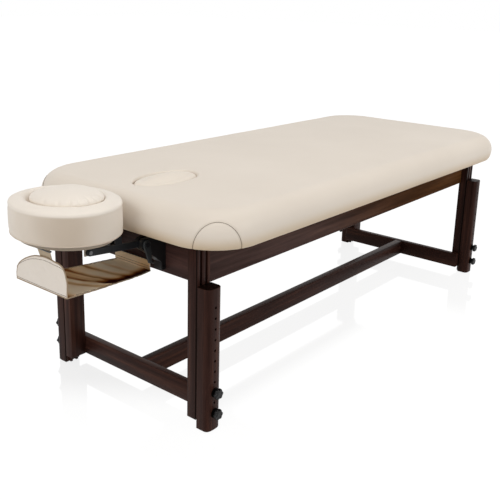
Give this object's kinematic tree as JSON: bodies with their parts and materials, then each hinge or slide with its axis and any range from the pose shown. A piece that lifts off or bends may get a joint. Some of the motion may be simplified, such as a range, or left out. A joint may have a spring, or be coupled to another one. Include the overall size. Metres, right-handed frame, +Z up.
{
  "type": "massage table",
  "caption": "Padded massage table on a dark wooden frame with telescoping pinned legs, a plugged face hole, a tilting oval face cushion and an arm sling.",
  "frame": {"origin": "middle of the table's footprint box, on the floor", "axes": "+X from the face cradle to the foot end, +Y to the far side, +Z up"},
  "size_m": [2.084, 0.81, 0.6476],
  "materials": {
    "dark_wood": "stained and satin lacquered",
    "plywood": "plain",
    "cream_vinyl": "soft satin upholstery",
    "tan_webbing": "woven",
    "black_plastic": "moulded satin",
    "black_steel": "satin black",
    "zinc": "plated",
    "grey_plastic": "satin"
  },
  "bodies": {
    "frame": {"corner_block_foot_far": "dark_wood", "corner_block_foot_near": "dark_wood", "corner_block_head_far": "dark_wood", "corner_block_head_near": "dark_wood", "crossbar_foot": "dark_wood", "crossbar_head": "dark_wood", "deck_board": "plywood", "deck_slat_1": "dark_wood", "deck_slat_2": "dark_wood", "deck_slat_3": "dark_wood", "foot_rail": "dark_wood", "head_rail": "dark_wood", "massage_pad": "cream_vinyl", "post_foot_far": "dark_wood", "post_foot_near": "dark_wood", "post_head_far": "dark_wood", "post_head_near": "dark_wood", "side_rail_far": "dark_wood", "side_rail_near": "dark_wood", "socket_bush_far": "black_plastic", "socket_bush_near": "black_plastic", "stretcher": "dark_wood"},
    "leg_head_near": {"leg_head_near": "dark_wood", "glide_head_near": "black_plastic"},
    "knob_head_near_upper": {"knob_head_near_upper": "black_plastic"},
    "knob_head_near_lower": {"knob_head_near_lower": "black_plastic"},
    "leg_head_far": {"leg_head_far": "dark_wood", "glide_head_far": "black_plastic"},
    "knob_head_far_upper": {"knob_head_far_upper": "black_plastic"},
    "knob_head_far_lower": {"knob_head_far_lower": "black_plastic"},
    "leg_foot_near": {"leg_foot_near": "dark_wood", "glide_foot_near": "black_plastic"},
    "knob_foot_near_upper": {"knob_foot_near_upper": "black_plastic"},
    "knob_foot_near_lower": {"knob_foot_near_lower": "black_plastic"},
    "leg_foot_far": {"leg_foot_far": "dark_wood", "glide_foot_far": "black_plastic"},
    "knob_foot_far_upper": {"knob_foot_far_upper": "black_plastic"},
    "knob_foot_far_lower": {"knob_foot_far_lower": "black_plastic"},
    "hole_plug": {"face_hole_plug": "cream_vinyl"},
    "cradle_base": {"cradle_bracket_near": "black_plastic", "cradle_bracket_far": "black_plastic", "cradle_rod_near": "black_steel", "cradle_rod_far": "black_steel", "sling_bar": "black_steel", "pivot_pin_near": "zinc", "pivot_pin_far": "zinc"},
    "cradle_head": {"cradle_arm_near": "black_steel", "cradle_arm_far": "black_steel", "arm_rivet_near": "zinc", "arm_rivet_far": "zinc", "cradle_platform": "black_plastic", "grip_strip_near": "black_plastic", "grip_strip_far": "black_plastic", "face_cushion": "cream_vinyl"},
    "cushion_plug": {"face_cushion_plug": "cream_vinyl"},
    "lever": {"cam_lever": "grey_plastic"},
    "sling": {"arm_sling": "cream_vinyl", "sling_strap": "tan_webbing", "strap_buckle": "grey_plastic"}
  },
  "joints": [
    {"name": "leg_head_near_height", "type": "slide", "parent": "frame", "child": "leg_head_near", "axis": [0, 0, -1], "range_m": [0, 0.248]},
    {"name": "knob_head_near_upper_turn", "type": "hinge", "parent": "leg_head_near", "child": "knob_head_near_upper", "pos_m": [-0.686, -0.3313, 0.118], "axis": [0, -1, 0], "continuous": true},
    {"name": "knob_head_near_lower_turn", "type": "hinge", "parent": "leg_head_near", "child": "knob_head_near_lower", "pos_m": [-0.686, -0.3313, 0.056], "axis": [0, -1, 0], "continuous": true},
    {"name": "leg_head_far_height", "type": "slide", "parent": "frame", "child": "leg_head_far", "axis": [0, 0, -1], "range_m": [0, 0.248]},
    {"name": "knob_head_far_upper_turn", "type": "hinge", "parent": "leg_head_far", "child": "knob_head_far_upper", "pos_m": [-0.686, 0.3313, 0.118], "axis": [0, 1, 0], "continuous": true},
    {"name": "knob_head_far_lower_turn", "type": "hinge", "parent": "leg_head_far", "child": "knob_head_far_lower", "pos_m": [-0.686, 0.3313, 0.056], "axis": [0, 1, 0], "continuous": true},
    {"name": "leg_foot_near_height", "type": "slide", "parent": "frame", "child": "leg_foot_near", "axis": [0, 0, -1], "range_m": [0, 0.248]},
    {"name": "knob_foot_near_upper_turn", "type": "hinge", "parent": "leg_foot_near", "child": "knob_foot_near_upper", "pos_m": [1.01, -0.3313, 0.118], "axis": [0, -1, 0], "continuous": true},
    {"name": "knob_foot_near_lower_turn", "type": "hinge", "parent": "leg_foot_near", "child": "knob_foot_near_lower", "pos_m": [1.01, -0.3313, 0.056], "axis": [0, -1, 0], "continuous": true},
    {"name": "leg_foot_far_height", "type": "slide", "parent": "frame", "child": "leg_foot_far", "axis": [0, 0, -1], "range_m": [0, 0.248]},
    {"name": "knob_foot_far_upper_turn", "type": "hinge", "parent": "leg_foot_far", "child": "knob_foot_far_upper", "pos_m": [1.01, 0.3313, 0.118], "axis": [0, 1, 0], "continuous": true},
    {"name": "knob_foot_far_lower_turn", "type": "hinge", "parent": "leg_foot_far", "child": "knob_foot_far_lower", "pos_m": [1.01, 0.3313, 0.056], "axis": [0, 1, 0], "continuous": true},
    {"name": "hole_plug_lift", "type": "slide", "parent": "frame", "child": "hole_plug", "axis": [0, 0, 1], "range_m": [0, 0.12]},
    {"name": "cradle_pull_out", "type": "slide", "parent": "frame", "child": "cradle_base", "axis": [-1, 0, 0], "range_m": [0, 0.105]},
    {"name": "cradle_tilt", "type": "hinge", "parent": "cradle_base", "child": "cradle_head", "pos_m": [-0.739, 0, 0.506], "axis": [0, -1, 0], "range_deg": [0, 30]},
    {"name": "cushion_plug_lift", "type": "slide", "parent": "cradle_head", "child": "cushion_plug", "axis": [0, 0, 1], "range_m": [0, 0.11]},
    {"name": "lever_turn", "type": "hinge", "parent": "cradle_base", "child": "lever", "pos_m": [-0.739, -0.1253, 0.506], "axis": [0, 1, 0], "range_deg": [0, 100]},
    {"name": "sling_level", "type": "hinge", "parent": "cradle_head", "child": "sling", "pos_m": [-0.9993, 0, 0.5421], "axis": [0, -1, 0], "range_deg": [-30, 0]}
  ],
  "couplings": [
    {"joint": "sling_level", "follows": "cradle_tilt", "ratio": -1}
  ]
}
